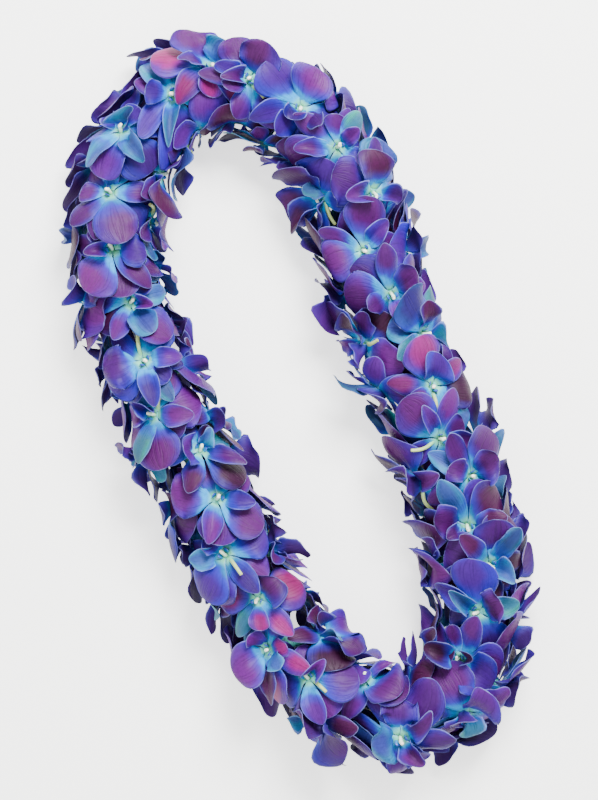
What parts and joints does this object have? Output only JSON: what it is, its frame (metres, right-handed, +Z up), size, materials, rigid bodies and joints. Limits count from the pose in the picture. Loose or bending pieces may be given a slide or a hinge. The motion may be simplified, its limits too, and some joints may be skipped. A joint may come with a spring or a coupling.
{
  "type": "flower lei",
  "caption": "Fresh lei of dyed orchid blooms strung close together on a closed thread, laid flat as a long oval ring.",
  "frame": {"origin": "on the surface that carries the lei, under the middle of its bounding box", "axes": "+Y along the long side of the oval, +Z up from the surface, +X across the oval"},
  "size_m": [0.2516, 0.5377, 0.0694],
  "materials": {
    "petals": "dyed violet and blue petals, soft satin",
    "hearts": "pale waxy columns and throats",
    "stalks": "pale green cut stalks, waxy",
    "thread": "matt cotton"
  },
  "bodies": {
    "root": {"blooms_01": "petals", "blooms_02": "petals", "blooms_03": "petals", "blooms_04": "petals", "blooms_05": "petals", "blooms_06": "petals", "blooms_07": "petals", "blooms_08": "petals", "blooms_09": "petals", "blooms_10": "petals", "blooms_11": "petals", "blooms_12": "petals", "blooms_13": "petals", "blooms_14": "petals", "blooms_15": "petals", "blooms_16": "petals", "blooms_17": "petals", "blooms_18": "petals", "blooms_19": "petals", "blooms_20": "petals", "blooms_21": "petals", "blooms_22": "petals", "blooms_23": "petals", "blooms_24": "petals", "blooms_25": "petals", "blooms_26": "petals", "blooms_27": "petals", "blooms_28": "petals", "blooms_29": "petals", "blooms_30": "petals", "blooms_31": "petals", "thread": "thread"}
  },
  "joints": []
}
